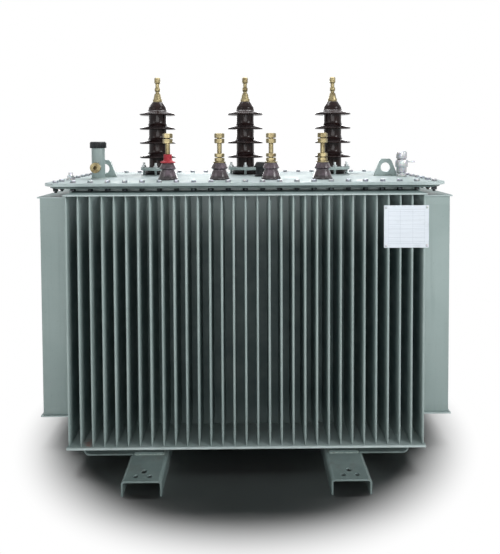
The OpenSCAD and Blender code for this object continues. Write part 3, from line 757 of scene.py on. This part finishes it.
def bolt_places():
    """Bolt centres midway between the tank's walls and the lid's edges, all round."""
    half_x = (TANK_HIGH[0] + LID_HIGH[0]) / 2
    half_y = (TANK_HIGH[1] + LID_HIGH[1]) / 2
    places = []
    for k in range(LONG_SPACES + 1):
        x = -half_x + 2 * half_x * k / LONG_SPACES
        places.append((x, -half_y))
        places.append((x, half_y))
    for k in range(1, SHORT_SPACES):
        y = -half_y + 2 * half_y * k / SHORT_SPACES
        places.append((-half_x, y))
        places.append((half_x, y))
    return places


earth_x, earth_y = middle("earth_bolt")
chance = random.Random(BOLT_SEED)
bolts = bmesh.new()
nuts = bmesh.new()
for bolt_x, bolt_y in bolt_places():
    spin = chance.uniform(0, math.pi / 3)
    if math.hypot(bolt_x - earth_x, bolt_y - earth_y) > EARTH_CLEAR:
        add_bolt_head(bolts, bolt_x, bolt_y, spin)
        add_bolt_nut(nuts, bolt_x, bolt_y, spin)
make_piece("lid_bolts", bolts, bolt_zinc)
make_piece("lid_nuts", nuts, shaded_nut_zinc)

# Round-head screws near the corners of the rating plate
SCREW_INSET = 0.007
SCREW_R = 0.0042
SCREW_SIDES = 18
SCREW_DOME = [(SCREW_R, 0), (SCREW_R, 0.0008), (SCREW_R * 0.85, 0.0017), (SCREW_R * 0.45, 0.0023)]
FORWARD = Vector((0, -1, 0))
plate_low, plate_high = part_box("rating_plate")
screws = bmesh.new()
for screw_x in (plate_low[0] + SCREW_INSET, plate_high[0] - SCREW_INSET):
    for screw_z in (plate_low[2] + SCREW_INSET, plate_high[2] - SCREW_INSET):
        add_turned(screws, (screw_x, plate_low[1], screw_z), SCREW_DOME, SCREW_SIDES, axis=FORWARD)
make_piece("plate_screws", screws, zinc)

THREAD_PITCH = 0.0022
THREAD_ROOT = 0.00015
THREAD_CREST = 0.0007
THREAD_END_GAP = 0.0005
THREAD_SIDES = 20


def add_thread(bm, centre, bottom, top, radius):
    """Add a ridged sleeve that stands for the thread on a bare length of stud."""
    low = bottom + THREAD_END_GAP
    high = top - THREAD_END_GAP
    count = max(2, int((high - low) / THREAD_PITCH))
    step = (high - low) / count
    profile = []
    for k in range(count):
        profile.append((radius + THREAD_ROOT, low + k * step))
        profile.append((radius + THREAD_CREST, low + (k + 0.5) * step))
    profile.append((radius + THREAD_ROOT, high))
    add_turned(bm, (centre[0], centre[1], 0), profile, THREAD_SIDES)


# Lengths of each terminal's parts, down from its top to the end of its bare studs
LV_STUD_R = 0.0085
LV_HIGH_NUTS = 0.038
LV_GAP = 0.038
HV_STEM_R = 0.008
HV_KNOB = 0.026
HV_STEM_HIGH = 0.018
HV_COLLAR = 0.017
HV_STEM_LOW = 0.009

# The low-voltage terminal that wears the red boot
BOOTED_NUMBER = 1
threads = bmesh.new()
for number in LV_NUMBERS:
    node_name = f"lv_terminal_{number}"
    gap_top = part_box(node_name)[1][2] - LV_HIGH_NUTS
    gap_bottom = gap_top - LV_GAP
    if number == BOOTED_NUMBER:
        gap_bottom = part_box("red_terminal_boot")[1][2]
    add_thread(threads, middle(node_name), gap_bottom, gap_top, LV_STUD_R)
for number in HV_NUMBERS:
    node_name = f"hv_terminal_{number}"
    high_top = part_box(node_name)[1][2] - HV_KNOB
    high_bottom = high_top - HV_STEM_HIGH
    low_top = high_bottom - HV_COLLAR
    low_bottom = low_top - HV_STEM_LOW
    add_thread(threads, middle(node_name), high_bottom, high_top, HV_STEM_R)
    add_thread(threads, middle(node_name), low_bottom, low_top, HV_STEM_R)
make_piece("stud_threads", threads, brass)

# A weld bead's sides, and the shares of its radius between which it swells and shrinks
BEAD_SIDES = 7
BEAD_THIN = 0.86
BEAD_THICK = 1.12


def add_bead(bm, points, radius, closed, seed):
    """Add a weld bead: a slightly uneven round string along a path of points."""
    roll = random.Random(seed)
    count = len(points)
    rings = []
    for k, point in enumerate(points):
        before = points[k - 1] if k > 0 or closed else point
        after = points[(k + 1) % count] if k < count - 1 or closed else point
        along = (Vector(after) - Vector(before)).normalized()
        side = along.orthogonal().normalized()
        lift = along.cross(side)
        swell = radius * roll.uniform(BEAD_THIN, BEAD_THICK)
        ring = []
        for n in range(BEAD_SIDES):
            angle = 2 * math.pi * n / BEAD_SIDES
            offset = side * math.cos(angle) + lift * math.sin(angle)
            ring.append(bm.verts.new(Vector(point) + offset * swell))
        rings.append(ring)
    for first, second in zip(rings, rings[1:]):
        join_rings(bm, first, second, True)
    if closed:
        join_rings(bm, rings[-1], rings[0], True)
    else:
        close_ends(bm, rings)


def line_points(start, end, step):
    """Points about a step apart on a straight line, with both its ends."""
    first = Vector(start)
    last = Vector(end)
    count = max(2, int((last - first).length / step))
    return [first.lerp(last, k / count) for k in range(count + 1)]


def add_bead_pair(bm, box, z, radius, axis, step, seed):
    """Add two straight beads along one axis, on the two sides of a box."""
    low, high = box
    if axis == "x":
        ends = [((low[0], y, z), (high[0], y, z)) for y in (low[1], high[1])]
    else:
        ends = [((x, low[1], z), (x, high[1], z)) for x in (low[0], high[0])]
    for start, end in ends:
        add_bead(bm, line_points(start, end, step), radius, False, seed)


# Weld beads: radii in metres, and the axis, the step between points and the first seed of each pair
LUG_BEAD_R = 0.0042
LUG_PAIRS = (("x", 0.005, 10), ("y", 0.003, 20))
PAD_BEAD_R = 0.003
PAD_PAIRS = (("y", 0.008, 30), ("x", 0.006, 40))
PIPE_BEAD_R = 0.0038
PIPE_POINTS = 40
PIPE_SEED = 50
beads = bmesh.new()
for side, side_name in enumerate(("left", "right")):
    lug_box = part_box(f"{side_name}_lifting_lug")
    for axis, step, seed in LUG_PAIRS:
        add_bead_pair(beads, lug_box, DECK_Z, LUG_BEAD_R, axis, step, seed + side)
    pad_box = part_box(f"{side_name}_foot_pad")
    pad_under = pad_box[0][2]
    for axis, step, seed in PAD_PAIRS:
        add_bead_pair(beads, pad_box, pad_under, PAD_BEAD_R, axis, step, seed + side)
pipe_low, pipe_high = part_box("filler_pipe")
pipe_x, pipe_y = middle("filler_pipe")
pipe_r = (pipe_high[0] - pipe_low[0]) / 2
pipe_path = []
for k in range(PIPE_POINTS):
    angle = 2 * math.pi * k / PIPE_POINTS
    pipe_path.append((pipe_x + pipe_r * math.cos(angle), pipe_y + pipe_r * math.sin(angle), DECK_Z))
add_bead(beads, pipe_path, PIPE_BEAD_R, True, PIPE_SEED)
make_piece("weld_beads", beads, weld)

FLOOR_HALF = 5.0


def make_floor():
    """A square of floor, which is stage and not part of the object."""
    mesh = bpy.data.meshes.new("studio_floor")
    corners = [(x * FLOOR_HALF, y * FLOOR_HALF, 0) for x, y in ((-1, -1), (1, -1), (1, 1), (-1, 1))]
    mesh.from_pydata(corners, [], [(0, 1, 2, 3)])
    mesh.materials.append(floor_material())
    floor = bpy.data.objects.new("studio_floor", mesh)
    bpy.context.scene.collection.objects.link(floor)
    return floor


def make_light(name, place, target, width, height, watts):
    """A soft box aimed at a target."""
    data = bpy.data.lights.new(name, "AREA")
    data.shape = "RECTANGLE"
    data.size = width
    data.size_y = height
    data.energy = watts
    light = bpy.data.objects.new(name, data)
    light.location = place
    aim = Vector(target) - Vector(place)
    light.rotation_mode = "QUATERNION"
    light.rotation_quaternion = aim.to_track_quat("-Z", "Y")
    bpy.context.scene.collection.objects.link(light)
    return light


def link_light(light, receiver, state):
    """Let a light reach one object alone (INCLUDE), or every object but that one (EXCLUDE)."""
    receivers = bpy.data.collections.new(f"{light.name}_receivers")
    receivers.objects.link(receiver)
    receivers.collection_objects[0].light_linking.link_state = state
    light.light_linking.receiver_collection = receivers


def make_world(shown, lighting):
    """A plain white surround, which lights the object less strongly than it shows."""
    world = bpy.data.worlds.new("white_studio")
    world.use_nodes = True
    nodes = world.node_tree.nodes
    links = world.node_tree.links
    background = nodes["Background"]
    background.inputs["Color"].default_value = grey(1.0)
    strength = nodes.new("ShaderNodeMapRange")
    links.new(seen_directly(nodes, links), strength.inputs["Value"])
    strength.inputs["To Min"].default_value = lighting
    strength.inputs["To Max"].default_value = shown
    links.new(strength.outputs["Result"], background.inputs["Strength"])
    bpy.context.scene.world = world


def make_camera():
    """Place the camera by the turn, pitch and roll that were fitted to the photograph."""
    yaw = math.radians(CAMERA_YAW)
    pitch = math.radians(CAMERA_PITCH)
    roll = math.radians(CAMERA_ROLL)
    right = Vector((math.cos(yaw), math.sin(yaw), 0))
    ahead = Vector((-math.sin(yaw), math.cos(yaw), 0))
    down = Vector((0, 0, -1))
    forward = ahead * math.cos(pitch) + down * math.sin(pitch)
    low = down * math.cos(pitch) - ahead * math.sin(pitch)
    image_x = right * math.cos(roll) + low * math.sin(roll)
    image_y = low * math.cos(roll) - right * math.sin(roll)
    longest_px = max(IMAGE_W, IMAGE_H)
    data = bpy.data.cameras.new("camera")
    data.sensor_width = SENSOR_MM
    data.lens = CAMERA_FOCAL_PX / longest_px * SENSOR_MM
    data.shift_y = -CAMERA_SHIFT_PX / longest_px
    camera = bpy.data.objects.new("camera", data)
    axes = Matrix((image_x, -image_y, -forward)).transposed()
    camera.matrix_world = Matrix.Translation(CAMERA_AT) @ axes.to_4x4()
    bpy.context.scene.collection.objects.link(camera)
    bpy.context.scene.camera = camera


# Strength of the white surround as it shows, and as it lights
WORLD_SHOWN = 1.0
WORLD_LIGHTING = 0.03
studio_floor = make_floor()
make_world(WORLD_SHOWN, WORLD_LIGHTING)

# The overhead lamp lights everything, the wash lights the floor alone, and the others leave it out
make_light("overhead", (0.0, 0.9, 3.6), (0.0, 0.1, 0.6), 2.8, 1.3, 102)
wash = make_light("floor_wash", (0.0, 0.5, 3.7), (0.0, 0.1, 0.0), 5.4, 0.7, 210)
link_light(wash, studio_floor, "INCLUDE")
object_lights = [
    make_light("front", (0.0, -3.4, 1.3), (0.0, 0.0, 0.7), 2.6, 1.2, 40),
    make_light("key_right", (2.7, -2.3, 2.5), (0.2, 0.0, 0.8), 1.4, 1.4, 56),
    make_light("fill_left", (-2.7, -2.1, 2.3), (-0.2, 0.0, 0.8), 1.4, 1.4, 12),
    make_light("back", (0.0, 3.4, 1.8), (0.0, 0.0, 0.7), 3.0, 1.4, 70),
]
for object_light in object_lights:
    link_light(object_light, studio_floor, "EXCLUDE")
make_camera()
bpy.context.scene.view_settings.view_transform = "Standard"
